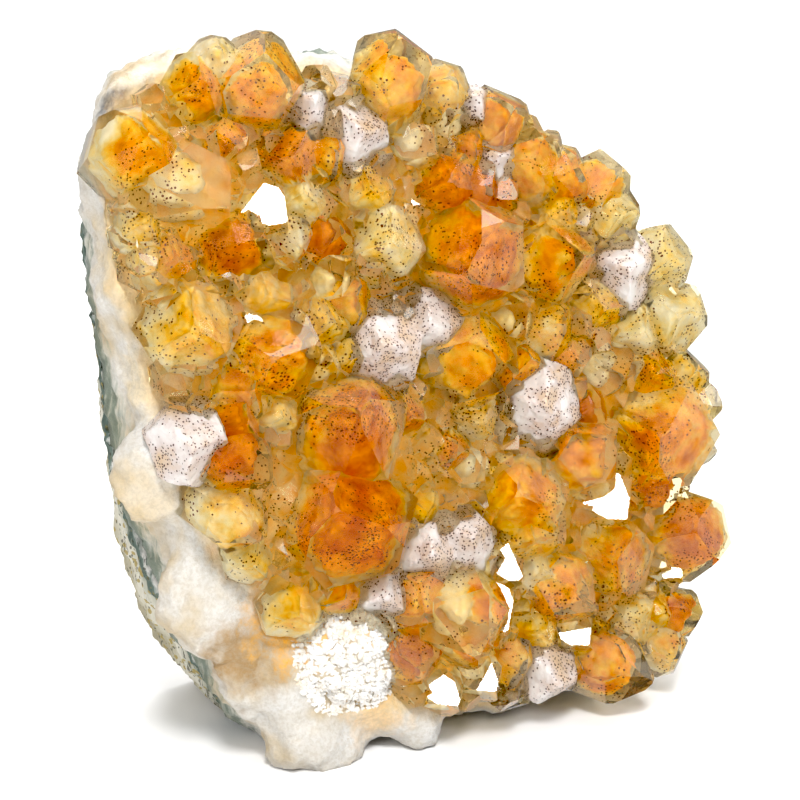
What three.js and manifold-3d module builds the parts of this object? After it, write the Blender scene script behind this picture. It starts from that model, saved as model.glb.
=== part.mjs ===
// A freestanding citrine cluster: a piece of a geode wall that stands on a flat base and leans back a little.
// Three layers grow on each other: the grey-green rind outside, a bed of milky quartz, and a crust of citrine points.
// Millimetres, +Z up, the crystal face looks along -Y, the origin is under the middle of the base.

import * as THREE from "three";
import { mergeVertices } from "three/addons/utils/BufferGeometryUtils.js";
import Module from "manifold-3d";

const wasm = await Module();
wasm.setup();

// Driving dimensions. The face frame has "across" along X, "up" along the leaning face, and "out" square to it.
const FACE_LEAN = THREE.MathUtils.degToRad(12);
const ORIGIN_IN_FACE = { x: 2.8, y: 19.1 };
const FACE_MIDDLE = [2, 54];
const BASE_HEIGHT = 0;
const GAP = 0.4;
const CRUST_THICKNESS = 1.7;
const ROOT_DEPTH = 6;
const READ_LEVEL = 3;

// Outline of the front of the quartz bed, anticlockwise from the foot: across, up.
const FRONT_EDGE = [
  [-18, 0.5],
  [-9, 4.5],
  [2, 4],
  [14, 3.5],
  [27, 4],
  [37, 5.5],
  [43, 13],
  [46, 24],
  [47, 36],
  [48, 48],
  [48, 60],
  [46, 72],
  [39, 80],
  [33, 88],
  [22, 97],
  [9, 103],
  [-5, 105],
  [-19, 108],
  [-32, 110],
  [-42, 106],
  [-46, 96],
  [-46, 84],
  [-43, 70],
  [-41.5, 56],
  [-40, 42],
  [-37, 29],
  [-32, 17],
  [-26, 7],
];

// Outline of the back of the piece, point for point behind the front one: across, up, depth behind the face.
const BACK_EDGE = [
  [-17, 1, 42],
  [-8, 0, 46],
  [2, -1, 47],
  [13, -1, 47],
  [24, 0, 46],
  [33, 3, 42],
  [39, 12, 37],
  [40, 24, 33],
  [41, 36, 30],
  [42, 48, 28],
  [42, 60, 26],
  [40, 71, 24],
  [34, 80, 22],
  [28, 88, 20],
  [18, 97, 19],
  [7, 103, 18],
  [-5, 106, 17],
  [-18, 108, 17],
  [-30, 108, 17],
  [-38, 102, 18],
  [-40, 93, 20],
  [-41.5, 82, 22],
  [-41.5, 69, 25],
  [-41, 56, 27],
  [-39.5, 43, 30],
  [-36.5, 30, 34],
  [-32, 18, 38],
  [-25, 8, 40],
];

// Share of the depth that is rind, point for point: thickest low on the left, where the wall shows it.
const RIND_SHARE = [
  0.35, 0.27, 0.22, 0.18, 0.18, 0.18, 0.18, 0.18, 0.18, 0.18, 0.18, 0.18, 0.18, 0.18, 0.18, 0.18, 0.18, 0.18, 0.17,
  0.16, 0.2, 0.28, 0.38, 0.45, 0.5, 0.58, 0.6, 0.5,
];
const MEAN_DEPTH = 30;
const BACK_BULGE = 6;
const BACK_UNEVENNESS = 1.1;
const RIND_AT_MIDDLE = 6;
const RIND_SWELL = 0.3;
const RIND_SWELL_AT = 0.55;
const WALL_BULGE = 2.2;
const WALL_UNEVENNESS = 0.9;
const EDGE_ROUND = 3.4;
const ROLL_FROM = 0.74;

// How finely the rounded forms are faceted.
const BED_SIDES = 42;
const FRONT_RINGS = [0.4, 0.74, 0.88, 1];
const WALL_RINGS = [0.15, 0.55];
const BACK_RINGS = [0.9, 0.5];
const CRUST_SIDES = 30;
const CRUST_RINGS = [0.5, 0.9];
const LUMP_DETAIL = 2;
const LUMP_WAVE = 9;
const LUMP_UNEVENNESS = 0.16;

// The crust thins towards its edge, and its underside narrows and goes deeper into the bed.
const CRUST_EDGE_LIFT = 0.4;
const CRUST_FLOOR_SHARE = 0.6;
const CRUST_FLOOR_DEPTH = 2 * CRUST_THICKNESS;

const RIND_COLOUR = 0x8b8f7c;
const QUARTZ_COLOUR = 0xf0e9dc;
const CITRINE_COLOUR = 0xe8951f;

// Outline of the crystal crust on the bed: across, up.
const CRUST_EDGE = [
  [-8, 11],
  [0, 7],
  [14, 6],
  [27, 6.5],
  [36, 8],
  [41, 15],
  [44, 25],
  [45, 37],
  [46, 49],
  [46, 60],
  [44, 71],
  [37, 79],
  [31, 86],
  [21, 95],
  [8, 101],
  [-6, 103],
  [-19, 106],
  [-31, 108],
  [-40, 104],
  [-44, 96],
  [-44, 85],
  [-40.5, 72],
  [-39, 58],
  [-36, 46],
  [-33, 36],
  [-26, 30],
  [-18, 27],
  [-9, 18],
];

// Lumps of sugary white quartz on the bed: across, up, out, radius, squash outwards.
const LUMPS = [
  [-14.5, 19.5, -1, 9, 0.5],
  [-19, 7, -7.5, 9.5, 0.75],
  [-27, 17.5, -7, 8.5, 0.6],
  [-34, 30, -6, 10, 0.5],
  [-38.5, 50, -6, 9.5, 0.45],
  [-5, 8, -3.5, 7, 0.6],
];

// The crystals that give the cluster its face. Each row: across, up, radius of the prism, length of prism above the bed,
// lean to the right and lean upwards (both as slopes off the square). Where a seventh number is given, it is the way
// that one of the three large faces of the tip looks, in degrees from the right, turning upwards.
const CRYSTALS = [
  // Top left
  [-22, 105.5, 6.2, 3, -0.25, 0.55, 250],
  [-32, 106, 4.8, 2, -0.2, 0.25],
  [-41.5, 98.5, 6, 1.5, -0.1, 0.35],
  [-34.5, 92, 6.6, 2.5, 0.28, -0.38, 120],
  [-28, 83, 6.2, 1.5, 0.2, 0.15, 250],
  [-18.5, 94.5, 4.8, 1.5, -0.3, 0],
  [-7.5, 96.5, 5.2, 1, -0.2, 0.1],
  [-1, 104, 5.6, 3.5, -0.2, 0.75, 270],
  [-6.5, 88, 4.6, 1, -0.3, 0.1],
  [-13.5, 82, 4.4, 2, 0.1, 0.15],
  [-11.3, 72.3, 4.4, 1.5, -0.1, 0.2],
  [-4.5, 80, 5.8, 1.5, -0.35, 0.1],
  [-37, 72, 7.4, 0.5, -0.3, 0.1],
  [-25, 75, 5.2, 0.8, -0.2, 0],
  // Top right
  [17, 96, 5, 1.5, 0, 0.35],
  [21.3, 88.5, 5.8, 1, -0.3, 0.2],
  [27.5, 86, 4.8, 1.5, 0, 0.3],
  [34.5, 84.5, 4.6, 1.5, 0.25, 0.35],
  [35, 79, 5, 1, -0.1, 0.1],
  [6.6, 87.5, 5, 2, -0.35, 0.1],
  [11.8, 86, 4.6, 2, 0, 0.1],
  [9.3, 76, 7.8, 3, -0.6, -0.15, 240],
  [24, 73.5, 7, 2.5, 0.1, 0.1, 180],
  [36.5, 70, 6, 0.6, -0.3, 0.1],
  [44, 71, 5.4, 1, -0.1, 0.2],
  [44.5, 61.5, 5.6, 1, -0.3, 0.1],
  // Middle
  [-6.8, 65, 6.6, 0.6, -0.4, 0.15],
  [1.5, 67, 5.2, 0.6, -0.4, 0.1],
  [8.5, 60, 7.2, 3, 0.2, -0.2, 180],
  [22.5, 63, 4.6, 2, 0, 0.2],
  [31.5, 65, 4.8, 0.8, -0.3, 0],
  [19.5, 51.5, 6.6, 1, -0.4, 0.15],
  [28, 49.5, 4.4, 1.5, 0, 0.1],
  [32, 55, 4.6, 2, 0.05, -0.1],
  [38, 60, 5, 0.8, -0.2, 0.1],
  [40.3, 53, 4.8, 1.2, -0.2, 0.2],
  [46.3, 52, 4.6, 1, 0.1, 0.3],
  [40, 43.5, 8.4, 1.5, -0.55, 0.15, 200],
  [26.5, 42.5, 5.8, 3, 0.25, 0.45, 215],
  [30, 34, 4.8, 2.5, 0, -0.3, 122],
  [39.5, 35.5, 5, 2.5, 0.15, 0.2],
  [44, 26.5, 7, 1.5, -0.35, 0.25, 240],
  [13.5, 38, 7.2, 1, -0.45, 0.25, 265],
  [15.5, 32, 6, 1, -0.35, -0.1],
  [8.5, 51.5, 4.4, 1, -0.3, 0],
  [-24, 66, 6.6, 2.5, 0.45, 0.22, 130],
  [-30, 62, 5, 1, 0, 0],
  [-15.5, 69.5, 4.8, 1, 0, 0.1],
  [-31.5, 57, 5, 1, 0, 0.1],
  [-32, 51.5, 4.8, 2.5, 0.5, -0.5, 110],
  [-14, 53, 8.8, 2, -0.2, 0.42, 90],
  [-39, 55, 5.6, 0.6, -0.3, 0],
  [-33, 43, 5, 2, 0.3, -0.45],
  [-16, 40, 9.8, 1.8, -0.5, 0.35, 270],
  // Bottom
  [-25.5, 27.5, 5, 0.8, -0.2, 0],
  [-31.5, 36.5, 4.4, 0.6, -0.3, -0.1],
  [-10.5, 27.5, 4.6, 0.6, -0.3, 0],
  [-2.5, 32, 5.2, 1, -0.3, 0.1],
  [4.2, 33, 5.2, 1.2, -0.2, 0.3],
  [-4.8, 25, 5.2, 2, -0.35, -0.3],
  [-6.5, 16.5, 5, 1.5, -0.2, -0.25],
  [1.8, 22.5, 6.4, 5, -0.25, -0.52, 108],
  [7.5, 20, 5, 1.5, 0, -0.3, 118],
  [16.5, 25.5, 4.4, 1, -0.2, 0.1],
  [20.3, 21.5, 5.6, 3, 0.22, -0.32, 128],
  [29.5, 25.5, 6.8, 1.2, -0.4, 0.1],
  [33, 14.5, 4.4, 1.5, -0.1, 0, 103],
  [38.5, 7.8, 4.4, 0.8, -0.1, -0.2],
  [27, 8.5, 5, 3, 0.75, -0.42, 80],
  [15.5, 16.5, 4.4, 1, -0.2, 0],
  [10, 12, 4.6, 1.5, -0.1, -0.2],
  [16.8, 8.8, 5, 1, -0.2, -0.2],
];

const SHAPE_SEED = 977;

// Quartz habit: slope of the rhombohedral faces off the axis, and how unequal the faces grow.
const TIP_SLOPE = THREE.MathUtils.degToRad(38.2);
const PRISM_SPREAD = 0.1;
const MAJOR_SPREAD = 0.06;
const MINOR_SET_BACK = 0.1;
const MINOR_SPREAD = 0.28;

// A repeatable stream of numbers from 0 to 1.
function stream(seed) {
  const factor = 16807;
  const modulus = 2147483647;
  let state = seed;
  return () => {
    state = (state * factor) % modulus;
    return state / modulus;
  };
}

// Face coordinates to the part's own frame, before the origin is moved under the middle.
function fromFace([across, up, out]) {
  const sin = Math.sin(FACE_LEAN);
  const cos = Math.cos(FACE_LEAN);
  return [across - ORIGIN_IN_FACE.x, up * sin - out * cos - ORIGIN_IN_FACE.y, up * cos + out * sin];
}

// Smooth unevenness of the bed and rind, from a few crossed waves.
function unevenness(across, up, out) {
  const broad = Math.sin(across * 0.21 + up * 0.13 + 1.3) * Math.sin(up * 0.17 - out * 0.19 + 0.4);
  const middle = Math.sin(across * 0.47 - up * 0.31 + out * 0.37 + 2.1) * Math.sin(up * 0.43 + out * 0.29);
  const fine = Math.sin(across * 0.93 + out * 0.81) * Math.sin(up * 0.97 - out * 0.71 + 0.9);
  return 0.55 * broad + 0.4 * middle + 0.22 * fine;
}

// A closed outline through the points, sampled evenly by parameter. Any third value rides along.
function closedOutline(points, samples) {
  const curve = new THREE.CatmullRomCurve3(
    points.map((p) => new THREE.Vector3(p[0], p[1], p[2] ?? 0)),
    true,
  );
  return Array.from({ length: samples }, (_, i) => curve.getPoint(i / samples));
}

// A closed skin through rings of points in the face frame, with a pole at each end.
function loft(rings, firstPole, lastPole) {
  const count = rings[0].length;
  const positions = [...rings.flat(), firstPole, lastPole].flatMap(fromFace);
  const first = rings.length * count;
  const indices = [];
  for (let i = 0; i < count; i++) {
    const next = (i + 1) % count;
    indices.push(first, i, next);
    for (let r = 0; r + 1 < rings.length; r++) {
      const a = r * count;
      const b = a + count;
      indices.push(a + i, b + i, b + next, a + i, b + next, a + next);
    }
    const end = (rings.length - 1) * count;
    indices.push(first + 1, end + next, end + i);
  }
  const geometry = new THREE.BufferGeometry();
  geometry.setAttribute("position", new THREE.Float32BufferAttribute(positions, 3));
  geometry.setIndex(indices);
  return geometry;
}

function toSolid(geometry) {
  geometry.deleteAttribute("normal");
  geometry.deleteAttribute("uv");
  const merged = mergeVertices(geometry, 1e-4);
  return new wasm.Manifold(
    new wasm.Mesh({
      numProp: 3,
      vertProperties: merged.attributes.position.array,
      triVerts: new Uint32Array(merged.index.array),
    }),
  );
}

function toGeometry(solid) {
  const mesh = solid.getMesh();
  const geometry = new THREE.BufferGeometry();
  geometry.setAttribute("position", new THREE.BufferAttribute(mesh.vertProperties, 3));
  geometry.setIndex(new THREE.BufferAttribute(mesh.triVerts, 1));
  geometry.computeVertexNormals();
  return geometry;
}

// Share of the way from the middle of the face to the edge of the bed at which a place lies.
function edgeShare(across, up) {
  const [mx, my] = FACE_MIDDLE;
  const [dx, dy] = [across - mx, up - my];
  let nearest = Infinity;
  FRONT_EDGE.forEach(([x, y], i) => {
    const [nx, ny] = FRONT_EDGE[(i + 1) % FRONT_EDGE.length];
    const [ex, ey] = [nx - x, ny - y];
    const cross = dx * ey - dy * ex;
    const reach = ((x - mx) * ey - (y - my) * ex) / cross;
    const along = ((x - mx) * dy - (y - my) * dx) / cross;
    if (reach > 0 && along >= 0 && along <= 1) nearest = Math.min(nearest, reach);
  });
  return 1 / nearest;
}

// How far out the front of the bed stands: flat under the crystals, uneven and rolled off towards its edge.
function bedLevel(across, up) {
  const rim = Math.min(1, Math.max(0, (edgeShare(across, up) - ROLL_FROM) / (1 - ROLL_FROM)));
  return rim * unevenness(across, up, 0) - EDGE_ROUND * rim * rim;
}

const front = closedOutline(FRONT_EDGE, BED_SIDES);
const back = closedOutline(BACK_EDGE, BED_SIDES);
const rindShares = closedOutline(
  RIND_SHARE.map((share) => [share, 0]),
  BED_SIDES,
).map((p) => p.x);

// A ring on the front of the bed, at a share of the way from the middle to the edge.
function frontRing(share, grow) {
  return front.map(({ x, y }) => {
    const across = FACE_MIDDLE[0] + (x - FACE_MIDDLE[0]) * share;
    const up = FACE_MIDDLE[1] + (y - FACE_MIDDLE[1]) * share;
    return [across, up, bedLevel(across, up) + grow];
  });
}

// A ring round the wall, at a share of its depth.
function wallRing(share, grow) {
  return front.map((edge, i) => {
    const behind = back[i];
    const x = edge.x + (behind.x - edge.x) * share;
    const y = edge.y + (behind.y - edge.y) * share;
    const out = -EDGE_ROUND - (behind.z - EDGE_ROUND) * share;
    const dx = x - FACE_MIDDLE[0];
    const dy = y - FACE_MIDDLE[1];
    const bulge = WALL_BULGE * Math.sin(Math.PI * share) + WALL_UNEVENNESS * unevenness(x, y, out) + grow;
    const length = Math.hypot(dx, dy);
    return [x + (dx / length) * bulge, y + (dy / length) * bulge, out];
  });
}

// A ring across the body behind the face. level 0 is the back of the rind and 1 the joint of rind and quartz.
function crossRing(share, level, setOff) {
  return back.map(({ x, y, z }, i) => {
    const across = FACE_MIDDLE[0] + (x - FACE_MIDDLE[0]) * share;
    const up = FACE_MIDDLE[1] + (y - FACE_MIDDLE[1]) * share;
    const middle = 1 - share ** 2;
    const depth = MEAN_DEPTH + (z - MEAN_DEPTH) * share ** 2 + BACK_BULGE * middle * (1 - level / 2);
    const rind = depth * rindShares[i] * share ** 2 + RIND_AT_MIDDLE * middle;
    const rough = BACK_UNEVENNESS * unevenness(across, up, -depth) * (1 - level);
    return [across, up, -depth + level * rind + rough + setOff];
  });
}

const atMiddle = (out) => [FACE_MIDDLE[0], FACE_MIDDLE[1], out];
const jointShare = (i) => 1 - rindShares[i];

// A wall ring at the joint of rind and quartz, which runs at a changing share of the depth.
function jointRing(setOff) {
  const rings = new Map();
  return front.map((_, i) => {
    const share = jointShare(i);
    if (!rings.has(share)) rings.set(share, wallRing(share, 0));
    const [x, y, out] = rings.get(share)[i];
    return [x, y, out + setOff];
  });
}

// A wall ring part of the way between two shares that change round the outline.
function mixedRing(from, to, part, grow) {
  return front.map((_, i) => {
    const start = from(i);
    const share = start + (to(i) - start) * part;
    return wallRing(share, grow)[i];
  });
}

// The quartz bed without its lumps. grow swells it, for cutting what sits on it.
function bedBody(grow) {
  const zero = () => 0;
  const rings = [
    ...FRONT_RINGS.map((share) => frontRing(share, grow)),
    ...WALL_RINGS.map((part) => mixedRing(zero, jointShare, part, grow)),
    jointRing(0),
    ...BACK_RINGS.map((share) => crossRing(share, 1, 0)),
  ];
  return toSolid(loft(rings, atMiddle(bedLevel(...FACE_MIDDLE) + grow), atMiddle(-MEAN_DEPTH)));
}

function rindBody() {
  const whole = () => 1;
  const rings = [
    ...[...BACK_RINGS].reverse().map((share) => crossRing(share, 1, -GAP)),
    jointRing(-GAP),
    mixedRing(jointShare, whole, RIND_SWELL_AT, RIND_SWELL),
    wallRing(1, 0),
    ...BACK_RINGS.map((share) => crossRing(share, 0, 0)),
  ];
  return toSolid(loft(rings, atMiddle(-MEAN_DEPTH - GAP), atMiddle(-MEAN_DEPTH - RIND_AT_MIDDLE)));
}

// A knobbly lump of quartz.
function lump([across, up, out, radius, squash], grow) {
  const geometry = new THREE.IcosahedronGeometry(1, LUMP_DETAIL);
  const place = geometry.attributes.position;
  for (let i = 0; i < place.count; i++) {
    const [x, y, z] = [place.getX(i), place.getY(i), place.getZ(i)];
    const rough = unevenness(x * LUMP_WAVE + across, y * LUMP_WAVE + up, z * LUMP_WAVE);
    const reach = radius * (1 + LUMP_UNEVENNESS * rough) + grow;
    const spot = fromFace([across + x * reach, up + y * reach, out + z * reach * squash]);
    place.setXYZ(i, ...spot);
  }
  return toSolid(geometry);
}

function quartzBed(grow) {
  let solid = bedBody(grow);
  for (const row of LUMPS) solid = solid.add(lump(row, grow));
  return solid;
}

// The thin continuous layer that the crystals rise from.
function crustLayer() {
  const edge = closedOutline(CRUST_EDGE, CRUST_SIDES);
  const ring = (share, lift) =>
    edge.map(({ x, y }) => {
      const across = FACE_MIDDLE[0] + (x - FACE_MIDDLE[0]) * share;
      const up = FACE_MIDDLE[1] + (y - FACE_MIDDLE[1]) * share;
      return [across, up, bedLevel(across, up) + lift];
    });
  const rings = [
    ...CRUST_RINGS.map((share) => ring(share, CRUST_THICKNESS)),
    ring(1, CRUST_EDGE_LIFT * CRUST_THICKNESS),
    ring(1, -CRUST_THICKNESS),
    ring(CRUST_FLOOR_SHARE, -CRUST_FLOOR_DEPTH),
  ];
  return toSolid(loft(rings, atMiddle(CRUST_THICKNESS), atMiddle(-CRUST_FLOOR_DEPTH)));
}

// One crystal: a box cut by six prism faces and six faces of the tip, three of them grown back.
function crystal([across, up, radius, rise, leanRight, leanUp, facing], draw) {
  const tipHeight = rise + radius / Math.tan(TIP_SLOPE);
  const axis = new THREE.Vector3(leanRight, leanUp, 1).normalize();
  const side = new THREE.Vector3(1, 0, 0).addScaledVector(axis, -axis.x).normalize();
  const anyWay = draw() * 180;
  side.applyAxisAngle(axis, THREE.MathUtils.degToRad(facing ?? anyWay));
  const other = new THREE.Vector3().crossVectors(axis, side);
  const turn = new THREE.Matrix4().makeBasis(side, other, axis);
  const slope = tipHeight - READ_LEVEL;
  const tip = new THREE.Vector3(across + leanRight * slope, up + leanUp * slope, tipHeight);
  const length = (tipHeight + ROOT_DEPTH) / axis.z;
  const box = new THREE.BoxGeometry(4 * radius, 4 * radius, length).translate(0, 0, -length / 2);
  let solid = toSolid(box);
  for (let i = 0; i < 6; i++) {
    const angle = (i * Math.PI) / 3;
    const reach = radius * (1 + PRISM_SPREAD * (2 * draw() - 1));
    solid = solid.trimByPlane([-Math.cos(angle), -Math.sin(angle), 0], -reach);
  }
  for (let i = 0; i < 6; i++) {
    const angle = (i * Math.PI) / 3;
    const minor = i % 2 === 1;
    const share = minor ? MINOR_SET_BACK + MINOR_SPREAD * draw() : MAJOR_SPREAD * draw();
    const flat = Math.cos(TIP_SLOPE);
    const normal = [-Math.cos(angle) * flat, -Math.sin(angle) * flat, -Math.sin(TIP_SLOPE)];
    solid = solid.trimByPlane(normal, -radius * share);
  }
  const geometry = toGeometry(solid).applyMatrix4(turn).translate(tip.x, tip.y, tip.z);
  const place = geometry.attributes.position;
  for (let i = 0; i < place.count; i++) {
    place.setXYZ(i, ...fromFace([place.getX(i), place.getY(i), place.getZ(i)]));
  }
  return toSolid(geometry);
}

function citrineCrust() {
  const draw = stream(SHAPE_SEED);
  const points = CRYSTALS.map((row) => crystal(row, draw));
  const grown = wasm.Manifold.union([crustLayer(), ...points]);
  return grown.subtract(quartzBed(GAP));
}

function finishedMesh(name, solid, colour, roughness) {
  const material = new THREE.MeshStandardMaterial({ color: colour, roughness, metalness: 0 });
  const mesh = new THREE.Mesh(toGeometry(solid), material);
  mesh.name = name;
  return mesh;
}

const cluster = new THREE.Group();
const standing = (solid) => solid.trimByPlane([0, 0, 1], BASE_HEIGHT);
cluster.add(finishedMesh("rind", standing(rindBody()), RIND_COLOUR, 0.9));
cluster.add(finishedMesh("quartz_bed", standing(quartzBed(0)), QUARTZ_COLOUR, 0.6));
cluster.add(finishedMesh("citrine_crystals", citrineCrust(), CITRINE_COLOUR, 0.1));

export default cluster;
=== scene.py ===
"""The finish of a freestanding citrine cluster: golden points on milky quartz, with a grey-green rind."""

import math

import bmesh
import bpy
from mathutils import Matrix, Vector, noise
from mathutils.bvhtree import BVHTree


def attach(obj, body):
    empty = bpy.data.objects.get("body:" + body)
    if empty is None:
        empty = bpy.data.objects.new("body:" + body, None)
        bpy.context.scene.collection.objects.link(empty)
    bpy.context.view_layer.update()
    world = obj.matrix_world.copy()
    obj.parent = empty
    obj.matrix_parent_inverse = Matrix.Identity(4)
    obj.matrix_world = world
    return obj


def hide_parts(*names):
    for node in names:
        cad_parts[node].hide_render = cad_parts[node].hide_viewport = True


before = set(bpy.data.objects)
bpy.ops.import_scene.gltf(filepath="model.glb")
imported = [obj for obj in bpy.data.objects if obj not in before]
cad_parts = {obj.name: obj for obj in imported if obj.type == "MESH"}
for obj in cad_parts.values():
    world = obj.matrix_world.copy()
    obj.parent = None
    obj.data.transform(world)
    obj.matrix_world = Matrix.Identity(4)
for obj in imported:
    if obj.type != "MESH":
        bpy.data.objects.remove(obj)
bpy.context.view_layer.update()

bl_info = {
    "name": "Citrine cluster",
    "version": (1, 0, 0),
    "blender": (4, 5, 0),
    "location": "View3D > Sidebar > Citrine",
    "description": "Builds the points, the quartz bed and the rind of a citrine cluster",
    "category": "Add Mesh",
}

MM = 0.001
BODY = "root"

# The face frame of the solids, in millimetres: across, up the leaning face, and out of it.
FACE_LEAN = math.radians(12)
ORIGIN_ACROSS = 2.8
ORIGIN_OUT = 19.1
ROOT_DEPTH = 6.0
READ_LEVEL = 3.0

# Quartz habit: slope of the tip's faces off the axis, and how unequal the faces grow.
TIP_SLOPE = math.radians(38.2)
PRISM_SPREAD = 0.1
MAJOR_SPREAD = 0.06
MINOR_SET_BACK = 0.1
MINOR_SPREAD = 0.28
SHAPE_SEED = 977

# The larger points, as in the solids: across, up, radius, length of prism, lean right, lean up, finish.
# An eighth value is the way that one of the three large faces of the tip looks, in degrees from the right,
# turning upwards.
LARGE_POINTS = [
    # Top left
    (-22, 105.5, 6.2, 3, -0.25, 0.55, "amber", 250),
    (-32, 106, 4.8, 2, -0.2, 0.25, "amber"),
    (-41.5, 98.5, 6, 1.5, -0.1, 0.35, "amber"),
    (-34.5, 92, 6.6, 2.5, 0.28, -0.38, "clear", 120),
    (-28, 83, 6.2, 1.5, 0.2, 0.15, "deep", 250),
    (-18.5, 94.5, 4.8, 1.5, -0.3, 0, "deep"),
    (-7.5, 96.5, 5.2, 1, -0.2, 0.1, "frosted"),
    (-1, 104, 5.6, 3.5, -0.2, 0.75, "amber", 270),
    (-6.5, 88, 4.6, 1, -0.3, 0.1, "honey"),
    (-13.5, 82, 4.4, 2, 0.1, 0.15, "deep"),
    (-11.3, 72.3, 4.4, 1.5, -0.1, 0.2, "amber"),
    (-4.5, 80, 5.8, 1.5, -0.35, 0.1, "pale"),
    (-37, 72, 7.4, 0.5, -0.3, 0.1, "honey"),
    (-25, 75, 5.2, 0.8, -0.2, 0, "honey"),
    # Top right
    (17, 96, 5, 1.5, 0, 0.35, "amber"),
    (21.3, 88.5, 5.8, 1, -0.3, 0.2, "amber"),
    (27.5, 86, 4.8, 1.5, 0, 0.3, "amber"),
    (34.5, 84.5, 4.6, 1.5, 0.25, 0.35, "amber"),
    (35, 79, 5, 1, -0.1, 0.1, "pale"),
    (6.6, 87.5, 5, 2, -0.35, 0.1, "deep"),
    (11.8, 86, 4.6, 2, 0, 0.1, "deep"),
    (9.3, 76, 7.8, 3, -0.6, -0.15, "deep", 240),
    (24, 73.5, 7, 2.5, 0.1, 0.1, "amber", 180),
    (36.5, 70, 6, 0.6, -0.3, 0.1, "frosted"),
    (44, 71, 5.4, 1, -0.1, 0.2, "pale"),
    (44.5, 61.5, 5.6, 1, -0.3, 0.1, "pale"),
    # Middle
    (-6.8, 65, 6.6, 0.6, -0.4, 0.15, "frosted"),
    (1.5, 67, 5.2, 0.6, -0.4, 0.1, "frosted"),
    (8.5, 60, 7.2, 3, 0.2, -0.2, "amber", 180),
    (22.5, 63, 4.6, 2, 0, 0.2, "honey"),
    (31.5, 65, 4.8, 0.8, -0.3, 0, "honey"),
    (19.5, 51.5, 6.6, 1, -0.4, 0.15, "frosted"),
    (28, 49.5, 4.4, 1.5, 0, 0.1, "deep"),
    (32, 55, 4.6, 2, 0.05, -0.1, "clear"),
    (38, 60, 5, 0.8, -0.2, 0.1, "pale"),
    (40.3, 53, 4.8, 1.2, -0.2, 0.2, "amber"),
    (46.3, 52, 4.6, 1, 0.1, 0.3, "honey"),
    (40, 43.5, 8.4, 1.5, -0.55, 0.15, "amber", 200),
    (26.5, 42.5, 5.8, 3, 0.25, 0.45, "amber", 215),
    (30, 34, 4.8, 2.5, 0, -0.3, "clear", 122),
    (39.5, 35.5, 5, 2.5, 0.15, 0.2, "deep"),
    (44, 26.5, 7, 1.5, -0.35, 0.25, "deep", 240),
    (13.5, 38, 7.2, 1, -0.45, 0.25, "amber", 265),
    (15.5, 32, 6, 1, -0.35, -0.1, "honey"),
    (8.5, 51.5, 4.4, 1, -0.3, 0, "pale"),
    (-24, 66, 6.6, 2.5, 0.45, 0.22, "amber", 130),
    (-30, 62, 5, 1, 0, 0, "amber"),
    (-15.5, 69.5, 4.8, 1, 0, 0.1, "honey"),
    (-31.5, 57, 5, 1, 0, 0.1, "deep"),
    (-32, 51.5, 4.8, 2.5, 0.5, -0.5, "deep", 110),
    (-14, 53, 8.8, 2, -0.2, 0.42, "deep", 90),
    (-39, 55, 5.6, 0.6, -0.3, 0, "frosted"),
    (-33, 43, 5, 2, 0.3, -0.45, "honey"),
    (-16, 40, 9.8, 1.8, -0.5, 0.35, "deep", 270),
    # Bottom
    (-25.5, 27.5, 5, 0.8, -0.2, 0, "honey"),
    (-31.5, 36.5, 4.4, 0.6, -0.3, -0.1, "pale"),
    (-10.5, 27.5, 4.6, 0.6, -0.3, 0, "frosted"),
    (-2.5, 32, 5.2, 1, -0.3, 0.1, "frosted"),
    (4.2, 33, 5.2, 1.2, -0.2, 0.3, "frosted"),
    (-4.8, 25, 5.2, 2, -0.35, -0.3, "amber"),
    (-6.5, 16.5, 5, 1.5, -0.2, -0.25, "deep"),
    (1.8, 22.5, 6.4, 5, -0.25, -0.52, "clear", 108),
    (7.5, 20, 5, 1.5, 0, -0.3, "amber", 118),
    (16.5, 25.5, 4.4, 1, -0.2, 0.1, "pale"),
    (20.3, 21.5, 5.6, 3, 0.22, -0.32, "amber", 128),
    (29.5, 25.5, 6.8, 1.2, -0.4, 0.1, "amber"),
    (33, 14.5, 4.4, 1.5, -0.1, 0, "pale", 103),
    (38.5, 7.8, 4.4, 0.8, -0.1, -0.2, "honey"),
    (27, 8.5, 5, 3, 0.75, -0.42, "amber", 80),
    (15.5, 16.5, 4.4, 1, -0.2, 0, "honey"),
    (10, 12, 4.6, 1.5, -0.1, -0.2, "amber"),
    (16.8, 8.8, 5, 1, -0.2, -0.2, "frosted"),
]

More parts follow.
